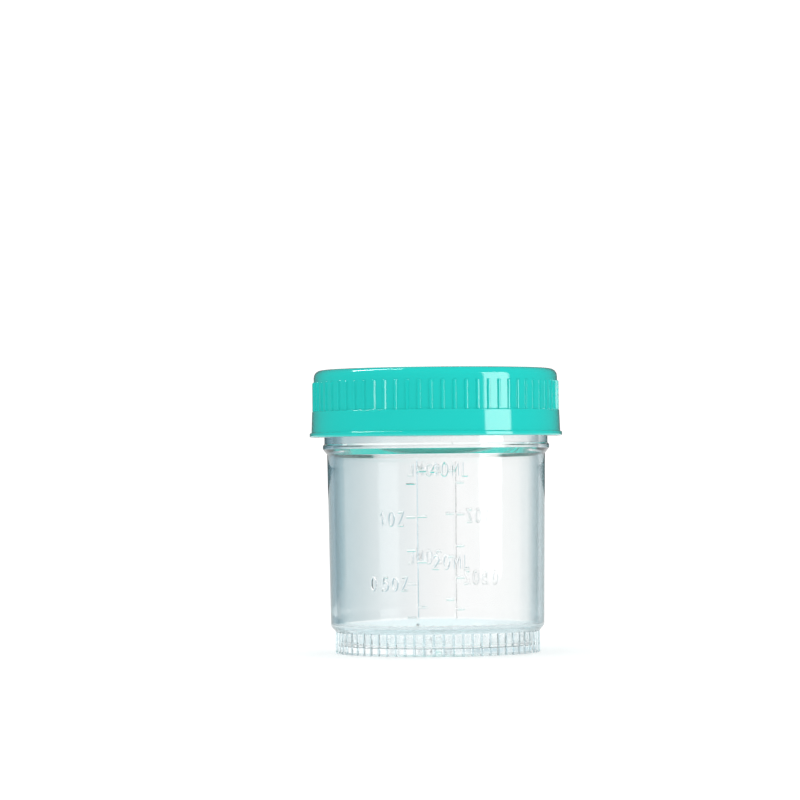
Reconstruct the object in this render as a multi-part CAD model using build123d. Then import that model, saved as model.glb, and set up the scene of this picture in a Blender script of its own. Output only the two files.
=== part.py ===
from build123d import *
import math
import os

# A 40 ml specimen container with a screw cap. Sizes are in millimetres.
# The origin is the middle of the foot's standing plane, +Z is up, the front scale faces -Y.

# Container: outer form, from the standing plane up
foot_height = 4.2            # up to the ledge
foot_step = 1.175            # foot's plain wall inside the body's base
foot_ring_width = 1.9        # ring that the container stands on
foot_recess = 0.35           # underside of the floor above the standing plane
ledge_lip = 0.05             # ledge's lower edge beyond the ribs' crests
ledge_height = 0.95          # cone from the foot out to the body
body_top_dia = 41.6
body_draft = 0.425           # how far the body's base is inside its top
body_length = 32.65
bead_reach = 0.8             # bead beyond the body's top
bead_chamfer_height = 1.0    # cone from the body out to the bead
bead_height = 0.7            # straight part of the bead
bead_shoulder = 0.3          # cone from the bead in to the neck, as high as it is wide
neck_length = 11.7           # from the bead's shoulder to the rim
rim_chamfer = 0.25           # round the rim's outer edge

# Container: wall and floor
cup_wall = 1.15
floor_thickness = 1.05
floor_corner = 0.7           # chamfer inside, between wall and floor
gate_dia = 3.2               # dome at the middle of the floor, over the gate
gate_rise = 0.75

# Ribs of the foot and of the cap's grip
rib_count = 66
rib_height = 0.3
rib_base_width = 0.62
rib_crest_width = 0.3
rib_root = 0.2               # how far a rib reaches into its wall

# Thread: single start, right-handed, moulded as a trapezoid ridge
thread_lead = 4.233
thread_turns = 1.25
ridge_height = 0.7
ridge_root_width = 1.6
ridge_crest_width = 0.7
ridge_sink = 0.25            # how far a ridge reaches into its wall
ridge_start = 4.2            # neck ridge's first middle above the bead's shoulder
thread_radial_gap = 0.15     # ridge crest to the wall that faces it
thread_flank_gap = 0.12      # between the two ridges' flanks, along Z

# Screw cap
cap_height = 12.8
cap_top_thickness = 1.3
cap_corner = 1.6             # radius round the top
cap_corner_flats = 3         # flats that make up the rounding
cap_wall = 1.1               # plain wall between the cap's ribs
grip_base = 4.95             # step that the ribs stand on, above the cap's bottom edge
rib_top_drop = 2.1           # ribs' tops below the cap's top, where their slopes start
band_step = 0.35             # band's top beyond the plain wall between the ribs
band_draft = 0.15            # how far the band widens down to the flange
flange_reach = 0.35          # flange beyond the band
flange_height = 0.85

# Sealing ring, between the cap's top and the container's rim
seal_thickness = 1.0
seal_width = 2.3
seal_gap = 0.05              # to the rim and to the cap, at each face
seal_side_gap = 0.12         # to the cap's wall

# Moulded scale, one in front and one behind
scale_relief = 0.16
scale_line_width = 0.34
scale_foot_margin = 0.45     # upright line's lower end above the ledge
scale_top_margin = 1.1       # its upper end below the body's top
tick_length = 1.9
tick_width = 0.32
ml_zero = 0.9                # height that the millilitre marks count from
ml_step = 8.42               # height of 10 ml
ml_marks = 4
ounce_zero = 1.18            # height that the ounce marks count from
ounce_step = 6.22            # height of a quarter ounce
ounce_marks = 5

# Widths and heights that follow from the sizes
body_base_dia = body_top_dia - 2 * body_draft
foot_dia = body_base_dia - 2 * foot_step
bead_dia = body_top_dia + 2 * bead_reach
neck_dia = bead_dia - 2 * bead_shoulder
ledge_top = foot_height + ledge_height
body_top = ledge_top + body_length
bead_base = body_top + bead_chamfer_height
shoulder_top = bead_base + bead_height + bead_shoulder
rim_top = shoulder_top + neck_length
floor_top = foot_recess + floor_thickness
cap_bore_dia = neck_dia + 2 * (ridge_height + thread_radial_gap)
grip_dia = cap_bore_dia + 2 * cap_wall
band_top_dia = grip_dia + 2 * band_step
band_base_dia = band_top_dia + 2 * band_draft
flange_dia = band_base_dia + 2 * flange_reach
cap_ceiling = rim_top + seal_thickness + 2 * seal_gap
cap_top = cap_ceiling + cap_top_thickness
cap_base = cap_top - cap_height


def turned(points):
    """A solid turned about Z from the (radius, height) points of its half section."""
    outline = Polyline(*[(radius, 0, height) for radius, height in points], close=True)
    return revolve(make_face(outline), axis=Axis.Z)


def foot_ring():
    """The foot's ribbed wall, drawn as one outline with a trapezoid for each rib."""
    wall = foot_dia / 2
    crest = wall + rib_height
    corners = (
        (wall, -rib_base_width / 2),
        (crest, -rib_crest_width / 2),
        (crest, rib_crest_width / 2),
        (wall, rib_base_width / 2),
    )
    outline = [
        Vector(*corner).rotate(Axis.Z, 360 * i / rib_count)
        for i in range(rib_count)
        for corner in corners
    ]
    ring = make_face(Polyline(*outline, close=True)) - Circle(wall - cup_wall / 2)
    return extrude(ring, foot_height, dir=(0, 0, 1))


def grip_ribs(bottom, top):
    """Narrow upright ribs round the cap's grip, each with a top that slopes down to its crest."""
    wall = grip_dia / 2
    base = rib_base_width / 2
    crest = rib_crest_width / 2
    root = wall - rib_root
    face = wall + rib_height
    widening = (base - crest) / rib_height * rib_root
    section = Polyline(
        (root, base + widening, bottom),
        (face, crest, bottom),
        (face, -crest, bottom),
        (root, -base - widening, bottom),
        close=True,
    )
    slant = Polyline((root, 0, top), (face, 0, top), (face, 0, top - face + root), close=True)
    rib = extrude(make_face(section), top - bottom, dir=(0, 0, 1))
    rib -= extrude(make_face(slant), rib_base_width, dir=(0, 1, 0), both=True)
    return [Rot(0, 0, 360 * i / rib_count) * rib for i in range(rib_count)]


def thread_ridge(root_dia, crest_dia, first_middle):
    """A trapezoid ridge that climbs as a right-hand helix from the +X side."""
    root = root_dia / 2
    crest = crest_dia / 2
    outward = math.copysign(1, crest - root)
    slope = (ridge_root_width - ridge_crest_width) / 2 / ridge_height
    sunk_half = ridge_root_width / 2 + slope * ridge_sink
    crest_half = ridge_root_width / 2 - slope * abs(crest - root)
    section = Polyline(
        (root - outward * ridge_sink, 0, first_middle - sunk_half),
        (crest, 0, first_middle - crest_half),
        (crest, 0, first_middle + crest_half),
        (root - outward * ridge_sink, 0, first_middle + sunk_half),
        close=True,
    )
    path = Helix(thread_lead, thread_turns * thread_lead, root, center=(0, 0, first_middle))
    return sweep(make_face(section), path=path, is_frenet=True)


def container_shell():
    """The moulding without ribs, thread and scale: foot, ledge, tapered body, bead, neck."""
    foot = foot_dia / 2
    foot_core = foot - cup_wall / 4
    ledge = foot + rib_height + ledge_lip
    ring = foot - foot_ring_width
    body_base = body_base_dia / 2
    body_end = body_top_dia / 2
    bead = bead_dia / 2
    neck = neck_dia / 2
    gate = gate_dia / 2
    gate_top = gate - gate_rise / 2
    gate_wall = floor_thickness / 2
    # The inside widens evenly from the ledge to the rim, so the bead is solid behind its chamfer.
    widening = body_draft / body_length * (rim_top - body_top)
    bore = body_end - cup_wall + widening
    # Inside, the ledge's cone is higher than outside, so the wall keeps its thickness there.
    rise_at_ledge = cup_wall * (body_base - ledge) / ledge_height / 2
    return turned([
        (0, foot_recess + gate_rise),
        (gate_top - gate_wall, foot_recess + gate_rise),
        (gate - gate_wall, foot_recess),
        (ring, foot_recess),
        (ring, 0),
        (foot_core, 0),
        (foot_core, foot_height),
        (ledge, foot_height),
        (body_base, ledge_top),
        (body_end, body_top),
        (bead, bead_base),
        (bead, bead_base + bead_height),
        (neck, shoulder_top),
        (neck, rim_top - rim_chamfer),
        (neck - rim_chamfer, rim_top),
        (bore, rim_top),
        (body_base - cup_wall, ledge_top + rise_at_ledge),
        (foot - cup_wall, foot_height + rise_at_ledge),
        (foot - cup_wall, floor_top + floor_corner),
        (foot - cup_wall - floor_corner, floor_top),
        (gate, floor_top),
        (gate_top, floor_top + gate_rise),
        (0, floor_top + gate_rise),
    ])


def scale_bars():
    """Upright line and ticks of one scale, as bars that reach from the axis to beyond the wall."""
    reach = bead_dia / 2
    line_base = ledge_top + scale_foot_margin
    line_end = body_top - scale_top_margin
    bars = [Pos(0, -reach / 2, (line_base + line_end) / 2)
            * Box(scale_line_width, reach, line_end - line_base)]
    for mark in range(1, ml_marks + 1):
        bars.append(Pos(tick_length / 2, -reach / 2, ml_zero + mark * ml_step)
                    * Box(tick_length, reach, tick_width))
    for mark in range(1, ounce_marks + 1):
        bars.append(Pos(-tick_length / 2, -reach / 2, ounce_zero + mark * ounce_step)
                    * Box(tick_length, reach, tick_width))
    return bars


def scale_marks():
    """The raised marks: a thin skin over the tapered body, cut to the bars of both scales."""
    base = body_base_dia / 2
    end = body_top_dia / 2
    depth = cup_wall / 2
    skin = turned([
        (base - depth, ledge_top),
        (base + scale_relief, ledge_top),
        (end + scale_relief, body_top),
        (end - depth, body_top),
    ])
    front = skin & Part() + scale_bars()
    return [front, Rot(0, 0, 180) * front]


def container_body():
    """The whole container, one moulding."""
    body = container_shell()
    body += foot_ring()
    body += thread_ridge(neck_dia, neck_dia + 2 * ridge_height, shoulder_top + ridge_start)
    body += scale_marks()
    return body


def screw_cap():
    """The cap, one moulding: round-edged top, ribbed grip, plain band, flange and inner thread."""
    grip = grip_dia / 2
    flange = flange_dia / 2
    bore = cap_bore_dia / 2
    step = cap_base + grip_base
    turns = [math.radians(90 * i / cap_corner_flats) for i in range(cap_corner_flats + 1)]
    corner = [
        (grip - cap_corner * (1 - math.cos(a)), cap_top - cap_corner * (1 - math.sin(a)))
        for a in turns
    ]
    cap = turned([
        (0, cap_ceiling),
        (bore, cap_ceiling),
        (bore, cap_base),
        (flange, cap_base),
        (flange, cap_base + flange_height),
        (band_base_dia / 2, cap_base + flange_height),
        (band_top_dia / 2, step),
        (grip, step),
        *corner,
        (0, cap_top),
    ])
    cap += grip_ribs(step, cap_top - rib_top_drop)
    crest_dia = neck_dia + 2 * thread_radial_gap
    cap += thread_ridge(cap_bore_dia, crest_dia, cap_ridge_start())
    return cap


def cap_ridge_start():
    """Height of the cap ridge's first middle: just under the neck ridge, flank beside flank."""
    slope = (ridge_root_width - ridge_crest_width) / 2 / ridge_height
    both_halves = ridge_root_width - slope * (ridge_height + thread_radial_gap)
    return shoulder_top + ridge_start - both_halves - thread_flank_gap


def sealing_ring():
    """Flat ring in the cap, over the rim of the neck."""
    outer = cap_bore_dia / 2 - seal_side_gap
    bottom = rim_top + seal_gap
    return turned([
        (outer - seal_width, bottom),
        (outer, bottom),
        (outer, bottom + seal_thickness),
        (outer - seal_width, bottom + seal_thickness),
    ])


os.makedirs("parts", exist_ok=True)
for name, solid in (
    ("container_body", container_body()),
    ("screw_cap", screw_cap()),
    ("sealing_ring", sealing_ring()),
):
    solid.label = name
    export_step(solid, f"parts/{name}.step")
    print(f"{name}: {solid.volume:.1f} mm3, height {solid.bounding_box().size.Z:.2f} mm")
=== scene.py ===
import math

import bmesh
import bpy
from mathutils import Matrix, Vector


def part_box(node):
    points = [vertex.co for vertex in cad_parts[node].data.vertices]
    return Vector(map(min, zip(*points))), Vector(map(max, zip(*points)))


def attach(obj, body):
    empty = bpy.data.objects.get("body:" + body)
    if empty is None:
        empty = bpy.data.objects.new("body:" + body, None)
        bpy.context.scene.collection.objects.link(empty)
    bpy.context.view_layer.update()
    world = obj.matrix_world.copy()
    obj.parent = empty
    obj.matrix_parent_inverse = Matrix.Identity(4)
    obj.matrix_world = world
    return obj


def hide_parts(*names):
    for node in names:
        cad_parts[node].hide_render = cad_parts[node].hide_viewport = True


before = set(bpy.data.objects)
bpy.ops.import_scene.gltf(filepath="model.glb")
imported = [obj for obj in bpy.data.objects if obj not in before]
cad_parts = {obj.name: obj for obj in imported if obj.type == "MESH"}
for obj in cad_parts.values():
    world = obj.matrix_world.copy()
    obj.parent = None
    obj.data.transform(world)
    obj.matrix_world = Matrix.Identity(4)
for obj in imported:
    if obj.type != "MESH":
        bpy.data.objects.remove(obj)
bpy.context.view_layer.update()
bpy.ops.object.select_all(action="DESELECT")

# Container body: one injection moulding in clear plastic. A ribbed foot ring stands below the
# floor, a ledge leads out to the tapered body, and above the bead the neck carries the thread.
# It is drawn as one rib pitch, ring by ring, and that pitch is turned round the axis.
MM = 0.001
TINY = 0.002 * MM            # points nearer than this are one point

foot_radius = 19.2 * MM
foot_height = 4.2 * MM
foot_ring_inside = 17.3 * MM
foot_recess = 0.35 * MM
ledge_radius = 19.55 * MM
ledge_top = 5.15 * MM
body_base_radius = 20.375 * MM
body_top_radius = 20.8 * MM
body_top = 37.8 * MM
bead_radius = 21.6 * MM
bead_base = 38.8 * MM
bead_top = 39.5 * MM
neck_radius = 21.3 * MM
shoulder_top = 39.8 * MM
rim_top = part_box("container_body")[1].z
cup_wall = 1.15 * MM
floor_top = 1.4 * MM
floor_rounding = 1.1 * MM
gate_radius = 1.6 * MM       # dome over the gate, in the middle of the floor
gate_rise = 0.75 * MM
floor_thickness = floor_top - foot_recess
widening = (body_top_radius - body_base_radius) / (body_top - ledge_top) * (rim_top - body_top)
bore_radius = body_top_radius - cup_wall + widening
rise_at_ledge = cup_wall * (body_base_radius - ledge_radius) / (ledge_top - foot_height) / 2

rib_count = 66
rib_height = 0.3 * MM
columns_in_pitch = 12
rib_columns = {0: 1.0, 1: 0.85}    # share of the rib's height, by column from its middle
pole_radius = 0.2 * MM       # first and last ring, closed to a point


def rounded(corners, steps=3):
    """(radius, height, crest) of every ring, from corners that also say how far they are rounded."""
    rings = []
    for i, (radius, height, rounding, crest) in enumerate(corners):
        corner = Vector((radius, height))
        if not rounding:
            rings.append((radius, height, crest))
            continue
        back = (Vector(corners[i - 1][:2]) - corner).normalized()
        on = (Vector(corners[i + 1][:2]) - corner).normalized()
        half = back.angle(on) / 2
        middle = corner + (back + on).normalized() * rounding / math.sin(half)
        first = (corner + back * rounding / math.tan(half) - middle).normalized()
        last = (corner + on * rounding / math.tan(half) - middle).normalized()
        for step in range(steps + 1):
            rings.append((*(middle + rounding * first.slerp(last, step / steps)), crest))
    return rings


def column_of(vertex):
    """How many columns a vertex is from the middle of the rib, which lies on the X axis."""
    return abs(round(math.atan2(vertex.co.y, vertex.co.x) * rib_count * columns_in_pitch / math.tau))


def start_pitch(name, radius, height):
    """The first ring of one rib pitch: a full circle of columns, cut down to that pitch."""
    bpy.ops.object.select_all(action="DESELECT")
    bpy.ops.mesh.primitive_circle_add(vertices=rib_count * columns_in_pitch, radius=radius)
    piece = bpy.context.object
    piece.name = name
    bpy.ops.object.mode_set(mode="EDIT")
    bpy.ops.transform.translate(value=(0, 0, height))
    mesh = bmesh.from_edit_mesh(piece.data)
    for vertex in mesh.verts:
        vertex.select = column_of(vertex) > columns_in_pitch / 2
    mesh.select_flush_mode()
    bpy.ops.mesh.delete(type="VERT")
    bpy.ops.mesh.select_all(action="SELECT")
    return piece


def extrude_pitch(piece, rings, wall):
    """Extrudes the pitch through its rings. Where a ring has a crest, the rib stands out of the wall."""
    widths = dict.fromkeys(range(columns_in_pitch // 2 + 1), rings[0][0])
    at = rings[0][1]
    for radius, height, crest in rings[1:]:
        bpy.ops.mesh.extrude_region_move(TRANSFORM_OT_translate={"value": (0, 0, height - at)})
        at = height
        mesh = bmesh.from_edit_mesh(piece.data)
        ring = [(vertex, column_of(vertex)) for vertex in mesh.verts if vertex.select]
        wanted = {column: max(radius, wall + crest * rib_columns.get(column, 0)) if crest else radius
                  for column in widths}
        for width in sorted(set((widths[column], wanted[column]) for column in widths)):
            for vertex, column in ring:
                vertex.select = (widths[column], wanted[column]) == width
            mesh.select_flush_mode()
            scale = width[1] / width[0]
            bpy.ops.transform.resize(value=(scale, scale, 1), center_override=(0, 0, 0))
        widths = wanted
        for vertex, column in ring:
            vertex.select = True
        mesh.select_flush_mode()


def turn_round(piece):
    """Copies the pitch round the axis, joins the copies and closes both poles."""
    bpy.ops.mesh.select_all(action="SELECT")
    bpy.ops.mesh.spin(steps=rib_count, angle=math.tau, dupli=True, center=(0, 0, 0), axis=(0, 0, 1))
    bpy.ops.mesh.select_all(action="SELECT")
    bpy.ops.mesh.remove_doubles(threshold=TINY)
    mesh = bmesh.from_edit_mesh(piece.data)
    heights = sorted({round(v.co.z, 6) for v in mesh.verts if v.co.xy.length < pole_radius + TINY})
    for height in heights:
        mesh = bmesh.from_edit_mesh(piece.data)
        for vertex in mesh.verts:
            near = vertex.co.xy.length < pole_radius + TINY
            vertex.select = near and abs(vertex.co.z - height) < TINY
        mesh.select_flush_mode()
        bpy.ops.mesh.edge_face_add()
        bpy.ops.mesh.poke()
    bpy.ops.mesh.select_all(action="SELECT")
    bpy.ops.mesh.normals_make_consistent(inside=False)
    bpy.ops.object.mode_set(mode="OBJECT")


def plain_rings(start, end, count=13):
    """Rings between two corners of a plain wall, so that the wall's shading stays true."""
    return [(start[0] + (end[0] - start[0]) * i / count, start[1] + (end[1] - start[1]) * i / count, 0, 0)
            for i in range(1, count)]


cup_corners = [
    (pole_radius, foot_recess + gate_rise, 0, 0),
    (gate_radius - (floor_thickness + gate_rise) / 2, foot_recess + gate_rise, 0.3 * MM, 0),
    (gate_radius - floor_thickness / 2, foot_recess, 0.2 * MM, 0),
    (foot_ring_inside, foot_recess, 0.15 * MM, 0),
    (foot_ring_inside, 0, 0.15 * MM, 0),
    (foot_radius, 0, 0.12 * MM, rib_height),
    (foot_radius, foot_height, 0.25 * MM, rib_height),
    (ledge_radius, foot_height, 0.1 * MM, rib_height),
    (body_base_radius, ledge_top, 0.5 * MM, 0),
    *plain_rings((body_base_radius, ledge_top), (body_top_radius, body_top)),
    (body_top_radius, body_top, 0.12 * MM, 0),
    (bead_radius, bead_base, 0.12 * MM, 0),
    (bead_radius, bead_top, 0.15 * MM, 0),
    (neck_radius, shoulder_top, 0.12 * MM, 0),
    (neck_radius, rim_top, 0.25 * MM, 0),
    (bore_radius, rim_top, 0.2 * MM, 0),
    *plain_rings((bore_radius, rim_top), (body_base_radius - cup_wall, ledge_top + rise_at_ledge)),
    (body_base_radius - cup_wall, ledge_top + rise_at_ledge, 0.5 * MM, 0),
    (foot_radius - cup_wall, foot_height + rise_at_ledge, 0.4 * MM, 0),
    (foot_radius - cup_wall, floor_top, floor_rounding, 0),
    (gate_radius, floor_top, 0.3 * MM, 0),
    (gate_radius - gate_rise / 2, floor_top + gate_rise, 0.3 * MM, 0),
    (pole_radius, floor_top + gate_rise, 0, 0),
]
cup_rings = rounded(cup_corners)
cup = start_pitch("container_moulding", *cup_rings[0][:2])
extrude_pitch(cup, cup_rings, foot_radius)
turn_round(cup)

# Thread of the neck: one start, right-handed, moulded with the container.
# The ridge rises out of the wall, climbs for a turn and a quarter, and sinks back into it.
thread_lead = 4.233 * MM
thread_turns = 1.25
ridge_height = 0.7 * MM
ridge_root_width = 1.6 * MM
ridge_crest_width = 0.7 * MM
ridge_sink = 0.25 * MM
ridge_first_middle = shoulder_top + 4.2 * MM
ridge_steps = 120
ridge_run_out = 8            # steps over which each end rises out of the wall
ridge_easing = 0.15 * MM     # flat that breaks each edge of the crest
ridge_hidden = 0.1 * MM      # depth of the crest under the wall at both ends


def thread_ridge(name, root, outward, height, first_middle):
    """A ridge on a wall of this radius, extruded step by step along its helix from the +X side."""
    slope = (ridge_root_width - ridge_crest_width) / 2 / ridge_height
    crest_half = ridge_root_width / 2 - slope * height
    root_half = ridge_root_width / 2 + slope * ridge_sink
    section = [
        (-ridge_sink, -root_half),
        (height - ridge_easing, -crest_half - slope * ridge_easing),
        (height, -crest_half + ridge_easing),
        (height, crest_half - ridge_easing),
        (height - ridge_easing, crest_half + slope * ridge_easing),
        (-ridge_sink, root_half),
    ]
    mesh = bpy.data.meshes.new(name)
    points = [(root + outward * out, 0, first_middle + up) for out, up in section]
    mesh.from_pydata(points, [], [range(len(points))])
    ridge = bpy.data.objects.new(name, mesh)
    bpy.context.collection.objects.link(ridge)
    bpy.ops.object.select_all(action="DESELECT")
    bpy.context.view_layer.objects.active = ridge
    bpy.ops.object.mode_set(mode="EDIT")
    bpy.ops.mesh.select_all(action="SELECT")
    turn = thread_turns * math.tau / ridge_steps
    sunk = height + ridge_hidden
    bpy.ops.transform.translate(value=(-outward * sunk, 0, 0))
    rise = sunk / ridge_run_out
    for step in range(ridge_steps):
        angle = turn * step
        move = 0
        if step < ridge_run_out:
            move = rise
        if step >= ridge_steps - ridge_run_out:
            move = -rise
        out = Vector((math.cos(angle), math.sin(angle), 0)) * outward * move
        bpy.ops.mesh.extrude_region_move(TRANSFORM_OT_translate={
            "value": (out.x, out.y, thread_turns * thread_lead / ridge_steps)})
        # With no window the operator turns the other way, so the angle is negative here.
        bpy.ops.transform.rotate(value=-turn, orient_axis="Z", center_override=(0, 0, 0))
    bpy.ops.mesh.select_all(action="SELECT")
    bpy.ops.mesh.normals_make_consistent(inside=False)
    bpy.ops.object.mode_set(mode="OBJECT")
    return ridge


def fuse(piece, tools):
    """Joins other closed solids to a piece, so that the moulding is one closed skin."""
    bpy.ops.object.select_all(action="DESELECT")
    bpy.context.view_layer.objects.active = piece
    for tool in tools:
        modifier = piece.modifiers.new("fuse", "BOOLEAN")
        modifier.operation = "UNION"
        modifier.solver = "MANIFOLD"
        modifier.object = tool
        bpy.ops.object.modifier_apply(modifier=modifier.name)
        bpy.data.objects.remove(tool)


neck_ridge = thread_ridge("neck_ridge", neck_radius, 1, ridge_height, ridge_first_middle)
fuse(cup, [neck_ridge])

# Scale: the lines, ticks and letters are cut into the mould, so they stand out of the wall as
# half-round beads of clear plastic. The same scale is in front, towards -Y, and behind.
stroke_radius = 0.26 * MM
line_radius = 0.34 * MM      # bead of the upright line
stroke_rise = 0.17 * MM      # how far every bead stands out of the wall
stroke_sides = 3             # bevel resolution of the bead
stroke_spacing = 0.9 * MM    # longest piece of a stroke before it is bent round the wall
scale_line = (5.6 * MM, 36.7 * MM)
tick_length = 1.9 * MM
tick_start = 0.08 * MM       # inside the upright line
ml_zero = 0.9 * MM
ml_step = 8.42 * MM
ml_marks = 4
ounce_zero = 1.18 * MM
ounce_step = 6.22 * MM
ounce_marks = 5
letter_height = 2.45 * MM
letter_width = 1.15 * MM
letter_pitch = 1.95 * MM
point_share = 0.35           # share of the pitch that the decimal point takes


def arc(x, y, across, up, first, last, count=10):
    """Points of an elliptical arc between two angles in degrees."""
    angles = [math.radians(first + (last - first) * i / count) for i in range(count + 1)]
    return [(x + across * math.cos(a), y + up * math.sin(a)) for a in angles]


letters = {
    "0": [arc(0.5, 0.5, 0.46, 0.5, 0, 360, 20)],
    "1": [[(0.25, 0.78), (0.55, 1), (0.55, 0)]],
    "2": [arc(0.5, 0.72, 0.46, 0.28, 170, -20) + [(0.04, 0), (1, 0)]],
    "4": [[(0.72, 1), (0, 0.3), (1, 0.3)], [(0.72, 0), (0.72, 1)]],
    "5": [[(0.92, 1), (0.14, 1), (0.08, 0.54)] + arc(0.46, 0.33, 0.48, 0.33, 120, -140)],
    "M": [[(0, 0), (0, 1), (0.5, 0.35), (1, 1), (1, 0)]],
    "L": [[(0.05, 1), (0.05, 0), (0.95, 0)]],
    "Z": [[(0.05, 1), (0.95, 1), (0.05, 0), (0.95, 0)]],
    ".": [[(0.4, 0), (0.6, 0.02)]],
}
letters["O"] = letters["0"]


def scale_strokes():
    """The strokes of one scale, as points along the wall and up it, in three sets that don't cross."""
    upright = [[(0, scale_line[0]), (0, scale_line[1])]]
    strokes = []
    crossing = []
    for mark in range(1, ml_marks + 1):
        height = ml_zero + mark * ml_step
        strokes.append([(tick_start, height), (tick_length, height)])
    for mark in range(1, ounce_marks + 1):
        height = ounce_zero + mark * ounce_step
        strokes.append([(-tick_start, height), (-tick_length, height)])
    words = {
        "40ML": (2.75 * MM, ml_zero + 4 * ml_step - 0.9 * MM),
        "20ML": (2.95 * MM, ml_zero + 2 * ml_step - 1.3 * MM),
        "1OZ": (-7.55 * MM, ounce_zero + 4 * ounce_step - 1.55 * MM),
        "0.5OZ": (-9.6 * MM, ounce_zero + 2 * ounce_step - 1.2 * MM),
    }
    for word, (left, base) in words.items():
        at = left
        for letter in word:
            for number, stroke in enumerate(letters[letter]):
                points = [(at + x * letter_width, base + y * letter_height) for x, y in stroke]
                (crossing if number else strokes).append(points)
            at += letter_pitch * (point_share if letter == "." else 1)
    return upright, strokes, crossing


def bead_on_wall(points, side, bead_radius):
    """One stroke as a closed bead, bent round the tapered wall. side is 0 in front and pi behind."""
    ring = math.dist(points[0], points[-1]) < TINY
    spread = [points[0]]
    for end in points[1:]:
        start = spread[-1]
        pieces = max(1, math.ceil(math.dist(start, end) / stroke_spacing))
        spread += [(start[0] + (end[0] - start[0]) * i / pieces, start[1] + (end[1] - start[1]) * i / pieces)
                   for i in range(1, pieces + 1)]
    if ring:
        spread.pop()
    line = bpy.data.curves.new("stroke", "CURVE")
    line.dimensions = "3D"
    line.bevel_depth = bead_radius
    line.bevel_resolution = stroke_sides
    line.use_fill_caps = True
    spline = line.splines.new("POLY")
    spline.points.add(len(spread) - 1)
    for point, (across, up) in zip(spline.points, spread):
        point.co = (across, 0, up, 1)
    spline.use_cyclic_u = ring
    bead = bpy.data.objects.new("stroke", line)
    bpy.context.collection.objects.link(bead)
    bpy.ops.object.select_all(action="DESELECT")
    bead.select_set(True)
    bpy.context.view_layer.objects.active = bead
    bpy.ops.object.convert(target="MESH")
    bead = bpy.context.object
    taper = (body_top_radius - body_base_radius) / (body_top - ledge_top)
    axis_at_ledge = body_base_radius + stroke_rise - bead_radius
    for vertex in bead.data.vertices:
        radius = axis_at_ledge + taper * (vertex.co.z - ledge_top) - vertex.co.y
        angle = side + vertex.co.x / body_top_radius
        vertex.co = (radius * math.sin(angle), -radius * math.cos(angle), vertex.co.z)
    bpy.ops.object.mode_set(mode="EDIT")
    bpy.ops.mesh.select_all(action="SELECT")
    bpy.ops.mesh.remove_doubles(threshold=TINY)
    bpy.ops.mesh.normals_make_consistent(inside=False)
    bpy.ops.object.mode_set(mode="OBJECT")
    return bead


def joined(pieces):
    """Several pieces as one object."""
    bpy.ops.object.select_all(action="DESELECT")
    for piece in pieces:
        piece.select_set(True)
    bpy.context.view_layer.objects.active = pieces[0]
    bpy.ops.object.join()
    return pieces[0]


fuse(cup, [joined([bead_on_wall(points, side, bead_radius) for points in strokes for side in (0, math.pi)])
           for strokes, bead_radius in zip(scale_strokes(), (line_radius, stroke_radius, stroke_radius))])

# Surface of the mouldings: a faint unevenness that every moulded wall has, so that no highlight
# is dead straight and no colour dead flat. All three materials share it.
grain_share = 0.08           # height of the grain as a share of the ripple's
bump_strength = 0.5


def moulded_surface():
    """Group with a slow ripple and a fine grain, as a shade, a roughness share and a height."""
    group = bpy.data.node_groups.new("moulded_surface", "ShaderNodeTree")
    for name, value in (("Ripple Scale", 60), ("Grain Scale", 900), ("Shade", 0.1)):
        socket = group.interface.new_socket(name, in_out="INPUT", socket_type="NodeSocketFloat")
        socket.default_value = value
    for name in ("Shade", "Roughness", "Height"):
        group.interface.new_socket(name, in_out="OUTPUT", socket_type="NodeSocketFloat")
    nodes, links = group.nodes, group.links
    inside = nodes.new("NodeGroupInput")
    outside = nodes.new("NodeGroupOutput")
    place = nodes.new("ShaderNodeTexCoord")
    ripple = nodes.new("ShaderNodeTexNoise")
    ripple.inputs["Detail"].default_value = 2
    grain = nodes.new("ShaderNodeTexNoise")
    grain.inputs["Detail"].default_value = 3
    links.new(place.outputs["Object"], ripple.inputs["Vector"])
    links.new(place.outputs["Object"], grain.inputs["Vector"])
    links.new(inside.outputs["Ripple Scale"], ripple.inputs["Scale"])
    links.new(inside.outputs["Grain Scale"], grain.inputs["Scale"])
    low = nodes.new("ShaderNodeMath")
    low.operation = "SUBTRACT"
    low.inputs[0].default_value = 1
    shade = nodes.new("ShaderNodeMapRange")
    shade.inputs["To Max"].default_value = 1
    links.new(inside.outputs["Shade"], low.inputs[1])
    links.new(low.outputs[0], shade.inputs["To Min"])
    links.new(ripple.outputs["Fac"], shade.inputs["Value"])
    links.new(shade.outputs["Result"], outside.inputs["Shade"])
    links.new(grain.outputs["Fac"], outside.inputs["Roughness"])
    both = nodes.new("ShaderNodeMath")
    both.operation = "MULTIPLY_ADD"
    both.inputs[1].default_value = grain_share
    links.new(grain.outputs["Fac"], both.inputs[0])
    links.new(ripple.outputs["Fac"], both.inputs[2])
    links.new(both.outputs[0], outside.inputs["Height"])
    return group


surface = moulded_surface()


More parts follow.
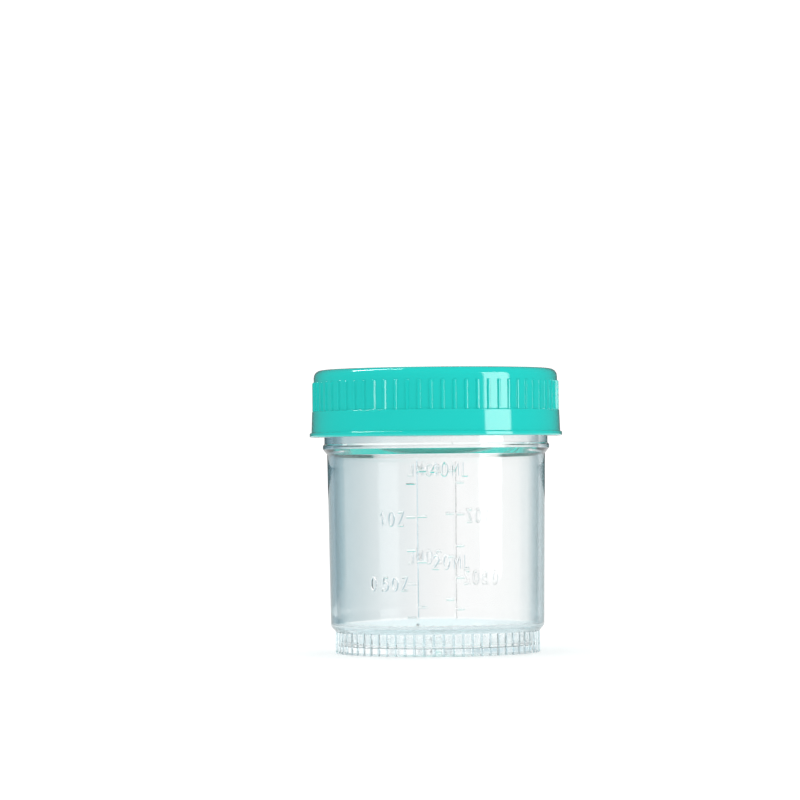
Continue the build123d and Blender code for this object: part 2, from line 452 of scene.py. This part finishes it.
def place_on_part():
    """Group with the distance of a point from the part's axis and its height."""
    group = bpy.data.node_groups.new("place_on_part", "ShaderNodeTree")
    for name in ("Radius", "Height"):
        group.interface.new_socket(name, in_out="OUTPUT", socket_type="NodeSocketFloat")
    nodes, links = group.nodes, group.links
    outside = nodes.new("NodeGroupOutput")
    place = nodes.new("ShaderNodeTexCoord")
    flat = nodes.new("ShaderNodeVectorMath")
    flat.operation = "MULTIPLY"
    flat.inputs[1].default_value = (1, 1, 0)
    radius = nodes.new("ShaderNodeVectorMath")
    radius.operation = "LENGTH"
    height = nodes.new("ShaderNodeSeparateXYZ")
    links.new(place.outputs["Object"], flat.inputs[0])
    links.new(flat.outputs["Vector"], radius.inputs[0])
    links.new(place.outputs["Object"], height.inputs["Vector"])
    links.new(radius.outputs["Value"], outside.inputs["Radius"])
    links.new(height.outputs["Z"], outside.inputs["Height"])
    return group


axis_place = place_on_part()


def plastic(name, ripple_scale, grain_scale, shade, roughness, bump_distance):
    """A material with the moulded surface already wired to roughness and normal."""
    material = bpy.data.materials.new(name)
    material.use_nodes = True
    nodes, links = material.node_tree.nodes, material.node_tree.links
    shader = nodes["Principled BSDF"]
    uneven = nodes.new("ShaderNodeGroup")
    uneven.node_tree = surface
    uneven.inputs["Ripple Scale"].default_value = ripple_scale
    uneven.inputs["Grain Scale"].default_value = grain_scale
    uneven.inputs["Shade"].default_value = shade
    spread = nodes.new("ShaderNodeMapRange")
    spread.inputs["To Min"].default_value = roughness[0]
    spread.inputs["To Max"].default_value = roughness[1]
    links.new(uneven.outputs["Roughness"], spread.inputs["Value"])
    links.new(spread.outputs["Result"], shader.inputs["Roughness"])
    bump = nodes.new("ShaderNodeBump")
    bump.inputs["Distance"].default_value = bump_distance
    bump.inputs["Strength"].default_value = bump_strength
    links.new(uneven.outputs["Height"], bump.inputs["Height"])
    links.new(bump.outputs["Normal"], shader.inputs["Normal"])
    return material, shader, uneven


# Tint of one face of the wall, from seen straight on (0) to seen edge on (1): the plastic's faint
# blue, darkened by painted shade as the wall turns edge on.
edge_painted_shade = (
    (0, (0.995, 0.998, 0.998, 1)),
    (0.24, (0.975, 0.985, 0.983, 1)),
    (0.4, (0.93, 0.955, 0.955, 1)),
    (0.54, (0.80, 0.86, 0.865, 1)),
    (0.66, (0.31, 0.45, 0.50, 1)),
    (0.83, (0.05, 0.17, 0.20, 1)),
    (1, (0.03, 0.12, 0.15, 1)),
)
haze_full = ledge_top + 0.3 * MM    # the haze of the foot and the ledge is full below this
haze_end = ledge_top + 0.6 * MM
haze_roughness = 0.05
haze_painted_glow = (0.037, 0.043, 0.044, 1)
gap_tint = (0.985, 0.993, 0.995, 1)
crest_painted_shade = (0.62, 0.76, 0.80, 1)
shadow_share = 0.15          # what the clear wall keeps of a solid wall's shadow


def color_ramp(nodes, tints):
    """A colour ramp through tints that are given with their positions, from 0 to 1."""
    ramp = nodes.new("ShaderNodeValToRGB")
    stops = ramp.color_ramp.elements
    stops[0].color = tints[0][1]
    stops[1].color = tints[-1][1]
    for position, tint in tints[1:-1]:
        stops.new(position).color = tint
    return ramp


def clear_plastic():
    """Clear, faintly blue polypropylene, with painted shade where the wall is seen edge on."""
    material, shader, uneven = plastic("clear_plastic", 90, 1400, 0.02, (0.03, 0.07), 0.01 * MM)
    nodes, links = material.node_tree.nodes, material.node_tree.links
    # Painted shade: the base colour darkens as the wall turns edge on.
    facing = nodes.new("ShaderNodeLayerWeight")
    facing.inputs["Blend"].default_value = 0.5
    edge = color_ramp(nodes, edge_painted_shade)
    links.new(facing.outputs["Facing"], edge.inputs["Fac"])
    shaded = nodes.new("ShaderNodeMix")
    shaded.data_type = "RGBA"
    shaded.blend_type = "MULTIPLY"
    shaded.inputs["Factor"].default_value = 1
    links.new(edge.outputs["Color"], shaded.inputs["A"])
    links.new(uneven.outputs["Shade"], shaded.inputs["B"])
    # The foot and the ledge are hazier than the wall above them. A faint painted glow stands in for the
    #     # daylight they scatter, and painted shade makes the ribs bluer and darker than the gaps.
    place = nodes.new("ShaderNodeGroup")
    place.node_tree = axis_place
    foot = nodes.new("ShaderNodeMapRange")
    foot.inputs["From Min"].default_value = haze_full
    foot.inputs["From Max"].default_value = haze_end
    foot.inputs["To Min"].default_value = 1
    foot.inputs["To Max"].default_value = 0
    hazy = nodes.new("ShaderNodeMath")
    hazy.operation = "MULTIPLY_ADD"
    hazy.inputs[1].default_value = haze_roughness
    links.new(place.outputs["Height"], foot.inputs["Value"])
    links.new(foot.outputs["Result"], hazy.inputs[0])
    links.new(shader.inputs["Roughness"].links[0].from_socket, hazy.inputs[2])
    links.new(hazy.outputs[0], shader.inputs["Roughness"])
    # Painted shade: the rib crests of the foot are darker and bluer than the gaps.
    crest = nodes.new("ShaderNodeMapRange")
    crest.inputs["From Min"].default_value = foot_radius + 0.05 * MM
    crest.inputs["From Max"].default_value = foot_radius + 0.15 * MM
    rib_painted_shade = nodes.new("ShaderNodeMix")
    rib_painted_shade.data_type = "RGBA"
    rib_painted_shade.inputs["A"].default_value = gap_tint
    rib_painted_shade.inputs["B"].default_value = crest_painted_shade
    links.new(place.outputs["Radius"], crest.inputs["Value"])
    links.new(crest.outputs["Result"], rib_painted_shade.inputs["Factor"])
    tint = nodes.new("ShaderNodeMix")
    tint.data_type = "RGBA"
    links.new(foot.outputs["Result"], tint.inputs["Factor"])
    links.new(shaded.outputs["Result"], tint.inputs["A"])
    links.new(rib_painted_shade.outputs["Result"], tint.inputs["B"])
    links.new(tint.outputs["Result"], shader.inputs["Base Color"])
    # Painted glow on the foot and the ledge, for the daylight their haze scatters.
    foot_painted_glow = nodes.new("ShaderNodeMix")
    foot_painted_glow.data_type = "RGBA"
    foot_painted_glow.inputs["A"].default_value = (0, 0, 0, 1)
    foot_painted_glow.inputs["B"].default_value = haze_painted_glow
    links.new(foot.outputs["Result"], foot_painted_glow.inputs["Factor"])
    links.new(foot_painted_glow.outputs["Result"], shader.inputs["Emission Color"])
    shader.inputs["Emission Strength"].default_value = 1
    shader.inputs["Transmission Weight"].default_value = 0.985
    shader.inputs["IOR"].default_value = 1.49
    light_path = nodes.new("ShaderNodeLightPath")
    shadow = nodes.new("ShaderNodeMapRange")
    shadow.inputs["To Min"].default_value = 1
    shadow.inputs["To Max"].default_value = shadow_share
    links.new(light_path.outputs["Is Shadow Ray"], shadow.inputs["Value"])
    links.new(shadow.outputs["Result"], shader.inputs["Alpha"])
    return material


crisp_angle = math.radians(32)


def finish_piece(piece, material, body, node):
    """Smooth shading with crisp corners, its material, and its place in the frame."""
    bpy.ops.object.select_all(action="DESELECT")
    piece.select_set(True)
    bpy.context.view_layer.objects.active = piece
    bpy.ops.object.shade_smooth_by_angle(angle=crisp_angle)
    weighted = piece.modifiers.new("weighted", "WEIGHTED_NORMAL")
    weighted.keep_sharp = True
    bpy.ops.object.modifier_apply(modifier=weighted.name)
    piece.data.materials.clear()
    piece.data.materials.append(material)
    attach(piece, body)
    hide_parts(node)


finish_piece(cup, clear_plastic(), "container", "container_body")

# Cap: one moulding in opaque teal polypropylene, with a flat top, a round edge, narrow grip ribs
# above a plain band, and a flange at the bottom. Its thread is inside.
cap_low, cap_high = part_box("screw_cap")
cap_top = cap_high.z
cap_base = cap_low.z
cap_top_wall = 1.3 * MM
cap_ceiling = cap_top - cap_top_wall
grip_radius = 23.25 * MM
grip_step = cap_base + 4.95 * MM
grip_rib_top = cap_top - 2.3 * MM
grip_rib_rounding = 0.28 * MM
grip_end_steps = 6           # rings over which the top of a grip rib is rounded off
least_crest = 0.001 * MM
band_top_radius = 23.6 * MM
band_base_radius = 23.75 * MM
flange_radius = 24.1 * MM
flange_top = cap_base + 0.85 * MM
cap_bore_radius = 22.15 * MM
cap_edge_rounding = 1.45 * MM
cap_ridge_height = 0.7 * MM
cap_ridge_first_middle = 42.826 * MM

grip_end = [(grip_radius, grip_rib_top - grip_rib_rounding * (1 - math.sin(a)), 0,
             max(rib_height * math.cos(a), least_crest))
            for a in (math.radians(90 - 90 / grip_end_steps * i) for i in range(grip_end_steps + 1))]
cap_corners = [
    (pole_radius, cap_top, 0, 0),
    (grip_radius, cap_top, cap_edge_rounding, 0),
    (grip_radius, grip_rib_top + 0.1 * MM, 0, 0),
    *grip_end,
    (grip_radius, grip_step, 0.1 * MM, rib_height),
    (band_top_radius, grip_step, 0.22 * MM, 0),
    (band_base_radius, flange_top, 0.1 * MM, 0),
    (flange_radius, flange_top, 0.22 * MM, 0),
    (flange_radius, cap_base, 0.15 * MM, 0),
    (cap_bore_radius, cap_base, 0.25 * MM, 0),
    (cap_bore_radius, cap_ceiling, 0.4 * MM, 0),
    (pole_radius, cap_ceiling, 0, 0),
]
cap_rings = rounded(cap_corners, 4)
cap = start_pitch("cap_moulding", *cap_rings[0][:2])
extrude_pitch(cap, cap_rings, grip_radius)
turn_round(cap)
fuse(cap, [thread_ridge("cap_ridge", cap_bore_radius, -1, cap_ridge_height, cap_ridge_first_middle)])


cap_color = (0.014, 0.65, 0.585, 1)
hollow_painted_glow = (0.006, 0.44, 0.39, 1)
hollow_margin = 0.05 * MM    # past the hollow's own surfaces, so that all of them count as inside


def cap_plastic():
    """Glossy teal polypropylene, a touch lighter and darker from place to place."""
    material, shader, uneven = plastic("cap_plastic", 55, 1100, 0.05, (0.05, 0.12), 0.012 * MM)
    nodes, links = material.node_tree.nodes, material.node_tree.links
    tint = nodes.new("ShaderNodeMix")
    tint.data_type = "RGBA"
    tint.blend_type = "MULTIPLY"
    tint.inputs["Factor"].default_value = 1
    tint.inputs["A"].default_value = cap_color
    links.new(uneven.outputs["Shade"], tint.inputs["B"])
    links.new(tint.outputs["Result"], shader.inputs["Base Color"])
    shader.inputs["IOR"].default_value = 1.3
    shader.inputs["Coat IOR"].default_value = 1.5
    shader.inputs["Coat Roughness"].default_value = 0.05
    # Painted glow: the hollow of the cap glows in its own colour, in place of daylight through the wall.
    place = nodes.new("ShaderNodeGroup")
    place.node_tree = axis_place
    in_bore = nodes.new("ShaderNodeMath")
    in_bore.operation = "LESS_THAN"
    in_bore.inputs[1].default_value = cap_bore_radius + hollow_margin
    under_top = nodes.new("ShaderNodeMath")
    under_top.operation = "LESS_THAN"
    under_top.inputs[1].default_value = cap_ceiling + hollow_margin
    inside = nodes.new("ShaderNodeMath")
    inside.operation = "MULTIPLY"
    glow = nodes.new("ShaderNodeMix")
    glow.data_type = "RGBA"
    glow.inputs["A"].default_value = (0, 0, 0, 1)
    glow.inputs["B"].default_value = hollow_painted_glow
    links.new(place.outputs["Radius"], in_bore.inputs[0])
    links.new(place.outputs["Height"], under_top.inputs[0])
    links.new(in_bore.outputs[0], inside.inputs[0])
    links.new(under_top.outputs[0], inside.inputs[1])
    links.new(inside.outputs[0], glow.inputs["Factor"])
    # The outside is polished, and the hollow is left matt by its mould core.
    polished = nodes.new("ShaderNodeMath")
    polished.operation = "SUBTRACT"
    polished.inputs[0].default_value = 1
    links.new(inside.outputs[0], polished.inputs[1])
    links.new(polished.outputs[0], shader.inputs["Coat Weight"])
    matt = nodes.new("ShaderNodeMath")
    matt.operation = "MAXIMUM"
    links.new(shader.inputs["Roughness"].links[0].from_socket, matt.inputs[0])
    links.new(inside.outputs[0], matt.inputs[1])
    links.new(matt.outputs[0], shader.inputs["Roughness"])
    links.new(glow.outputs["Result"], shader.inputs["Emission Color"])
    shader.inputs["Emission Strength"].default_value = 1
    return material


finish_piece(cap, cap_plastic(), "cap", "screw_cap")

# Sealing ring: a soft ring in a duller teal than the cap. It lies in the cap, over the rim of
# the neck, and is cut from sheet, with faintly eased edges.
ring_low, ring_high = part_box("sealing_ring")
ring_outside = ring_high.x
ring_width = 2.3 * MM
ring_inside = ring_outside - ring_width
ring_seam = ring_low.z + 0.5 * MM    # height where the section starts and ends
ring_easing = 0.12 * MM
seal_corners = [
    (ring_inside, ring_seam, 0, 0),
    (ring_inside, ring_low.z, ring_easing, 0),
    (ring_outside, ring_low.z, ring_easing, 0),
    (ring_outside, ring_high.z, ring_easing, 0),
    (ring_inside, ring_high.z, ring_easing, 0),
    (ring_inside, ring_seam, 0, 0),
]
seal_rings = rounded(seal_corners)
seal = start_pitch("sealing_ring_soft", *seal_rings[0][:2])
extrude_pitch(seal, seal_rings, ring_outside)
turn_round(seal)


rubber_color = (0.06, 0.55, 0.49, 1)


def seal_rubber():
    """Soft teal rubber, matt and slightly blotchy."""
    material, shader, uneven = plastic("seal_rubber", 240, 2600, 0.12, (0.6, 0.8), 0.03 * MM)
    nodes, links = material.node_tree.nodes, material.node_tree.links
    tint = nodes.new("ShaderNodeMix")
    tint.data_type = "RGBA"
    tint.blend_type = "MULTIPLY"
    tint.inputs["Factor"].default_value = 1
    tint.inputs["A"].default_value = rubber_color
    links.new(uneven.outputs["Shade"], tint.inputs["B"])
    links.new(tint.outputs["Result"], shader.inputs["Base Color"])
    return material


finish_piece(seal, seal_rubber(), "seal", "sealing_ring")

# Studio: a pale floor that fades into an even white surround. The card, the camera and the
# lamps come after it.
floor_size = 6.0


def pale(name, color, glow):
    """A pale surface that the camera and the glass see at full white, with soft shadows kept."""
    material = bpy.data.materials.new(name)
    material.use_nodes = True
    nodes, links = material.node_tree.nodes, material.node_tree.links
    shader = nodes["Principled BSDF"]
    shader.inputs["Base Color"].default_value = (color, color, color, 1)
    shader.inputs["Roughness"].default_value = 0.9
    shader.inputs["Specular IOR Level"].default_value = 0
    path = nodes.new("ShaderNodeLightPath")
    seen = nodes.new("ShaderNodeMath")
    seen.operation = "MAXIMUM"
    links.new(path.outputs["Is Camera Ray"], seen.inputs[0])
    links.new(path.outputs["Is Transmission Ray"], seen.inputs[1])
    strength = nodes.new("ShaderNodeMath")
    strength.operation = "MULTIPLY"
    strength.inputs[1].default_value = glow
    links.new(seen.outputs[0], strength.inputs[0])
    shader.inputs["Emission Color"].default_value = (1, 1, 1, 1)
    links.new(strength.outputs[0], shader.inputs["Emission Strength"])
    return material


bpy.ops.object.select_all(action="DESELECT")
bpy.ops.mesh.primitive_plane_add(size=floor_size)
floor = bpy.context.object
floor.name = "floor"
floor.data.materials.append(pale("floor_white", 0.8, 0.25))

surround_strength = 1.12
surround_in_gloss = 0.12     # the surround as a glossy surface mirrors it
world = bpy.data.worlds.new("studio")
bpy.context.scene.world = world
world.use_nodes = True
world_nodes, world_links = world.node_tree.nodes, world.node_tree.links
surround = world_nodes["Background"]
surround.inputs["Color"].default_value = (1, 1, 1, 1)
path = world_nodes.new("ShaderNodeLightPath")
straight = world_nodes.new("ShaderNodeMath")
straight.operation = "MAXIMUM"
world_links.new(path.outputs["Is Camera Ray"], straight.inputs[0])
world_links.new(path.outputs["Is Transmission Ray"], straight.inputs[1])
surround_level = world_nodes.new("ShaderNodeMapRange")
surround_level.inputs["To Min"].default_value = surround_strength
surround_level.inputs["To Max"].default_value = surround_in_gloss
world_links.new(path.outputs["Is Glossy Ray"], surround_level.inputs["Value"])
brightest = world_nodes.new("ShaderNodeMath")
brightest.operation = "MAXIMUM"
world_links.new(straight.outputs[0], brightest.inputs[0])
world_links.new(surround_level.outputs["Result"], brightest.inputs[1])
world_links.new(brightest.outputs[0], surround.inputs["Strength"])

# Behind the object stands a graded card of painted shade, blue-grey at the left and white at the
# right. Only light that comes through the clear plastic shows it, so that edges and raised marks stand out.
camera_azimuth = math.radians(10.4)
card_distance = 0.15
card_width = 0.6
card_lift = 0.001            # above the floor
card_graded = 0.1            # the grading runs this far to each side of the middle
card_shade_tints = (
    (0, (0.41, 0.58, 0.65, 1)),
    (0.26, (0.43, 0.60, 0.66, 1)),
    (0.32, (0.46, 0.60, 0.65, 1)),
    (0.375, (0.58, 0.68, 0.71, 1)),
    (0.42, (0.75, 0.82, 0.84, 1)),
    (0.5, (0.92, 0.93, 0.93, 1)),
    (0.53, (1, 1, 1, 1)),
    (1, (1, 1, 1, 1)),
)
bpy.ops.object.select_all(action="DESELECT")
bpy.ops.mesh.primitive_plane_add(size=card_width)
card = bpy.context.object
card.name = "graded_card"
card.rotation_euler = (math.pi / 2, 0, camera_azimuth)
card.location = (-card_distance * math.sin(camera_azimuth), card_distance * math.cos(camera_azimuth),
                 card_width / 2 + card_lift)
for ray in ("camera", "diffuse", "glossy", "shadow", "volume_scatter"):
    setattr(card, "visible_" + ray, False)


def painted_shade_card():
    """Painted shade: an evenly glowing card, graded from blue-grey to white."""
    material = bpy.data.materials.new("painted_shade_card")
    material.use_nodes = True
    nodes, links = material.node_tree.nodes, material.node_tree.links
    shader = nodes["Principled BSDF"]
    shader.inputs["Base Color"].default_value = (0, 0, 0, 1)
    shader.inputs["Specular IOR Level"].default_value = 0
    place = nodes.new("ShaderNodeTexCoord")
    across = nodes.new("ShaderNodeSeparateXYZ")
    share = nodes.new("ShaderNodeMapRange")
    share.inputs["From Min"].default_value = -card_graded
    share.inputs["From Max"].default_value = card_graded
    grading = color_ramp(nodes, card_shade_tints)
    links.new(place.outputs["Object"], across.inputs["Vector"])
    links.new(across.outputs["X"], share.inputs["Value"])
    links.new(share.outputs["Result"], grading.inputs["Fac"])
    links.new(grading.outputs["Color"], shader.inputs["Emission Color"])
    shader.inputs["Emission Strength"].default_value = 1
    return material


card.data.materials.append(painted_shade_card())

# Camera: level with the lower body, a little to the right of the front scale, with a long lens.
camera_distance = 0.688
camera_height = 0.035
camera_pan = math.radians(0.565)
camera_tilt = math.radians(1.096)
camera_roll = math.radians(0.55)
camera_lens = 162            # millimetres
camera_near = 0.01
toward = Vector((-math.sin(camera_azimuth), math.cos(camera_azimuth), 0))
bpy.ops.object.camera_add(location=-camera_distance * toward + Vector((0, 0, camera_height)))
camera = bpy.context.object
camera.name = "camera"
camera.data.lens = camera_lens
camera.data.clip_start = camera_near
turned = (Matrix.Rotation(camera_azimuth + camera_pan, 4, "Z")
          @ Matrix.Rotation(math.pi / 2 + camera_tilt, 4, "X")
          @ Matrix.Rotation(-camera_roll, 4, "Z"))
camera.rotation_euler = turned.to_euler()
bpy.context.scene.camera = camera

# Lamps: a tall softbox at the right of the camera, a wider one farther out in the same direction,
# and a strip light high up behind the object, at the left.
lamp_watts = 4               # for each square metre, at brightness 1


def softbox(name, azimuth, elevation, distance, width, height, brightness):
    """An area light that faces the object. Azimuth counts to the right of the camera's direction."""
    across = camera_azimuth + math.radians(azimuth)
    up = math.radians(elevation)
    direction = Vector((math.sin(across) * math.cos(up), -math.cos(across) * math.cos(up), math.sin(up)))
    aim = Vector((0, 0, rim_top / 2))
    bpy.ops.object.light_add(type="AREA", location=aim + direction * distance)
    lamp = bpy.context.object
    lamp.name = name
    lamp.rotation_euler = direction.to_track_quat("Z", "Y").to_euler()
    lamp.data.shape = "RECTANGLE"
    lamp.data.size = width
    lamp.data.size_y = height
    lamp.data.energy = lamp_watts * brightness * width * height
    return lamp


softbox("key_softbox", 58, 4, 0.3, 0.14, 0.3, 3.0)
softbox("key_glow", 58, 4, 0.9, 0.42, 0.9, 1.0)
softbox("overhead_light", -116, 60, 0.9, 0.07, 0.45, 20.0)

# These two show only as highlights: they light no matt surface and don't show through the plastic.
for name in ("key_softbox", "overhead_light"):
    bpy.data.objects[name].visible_diffuse = False
    bpy.data.objects[name].visible_transmission = False

bpy.context.scene.view_settings.view_transform = "Standard"
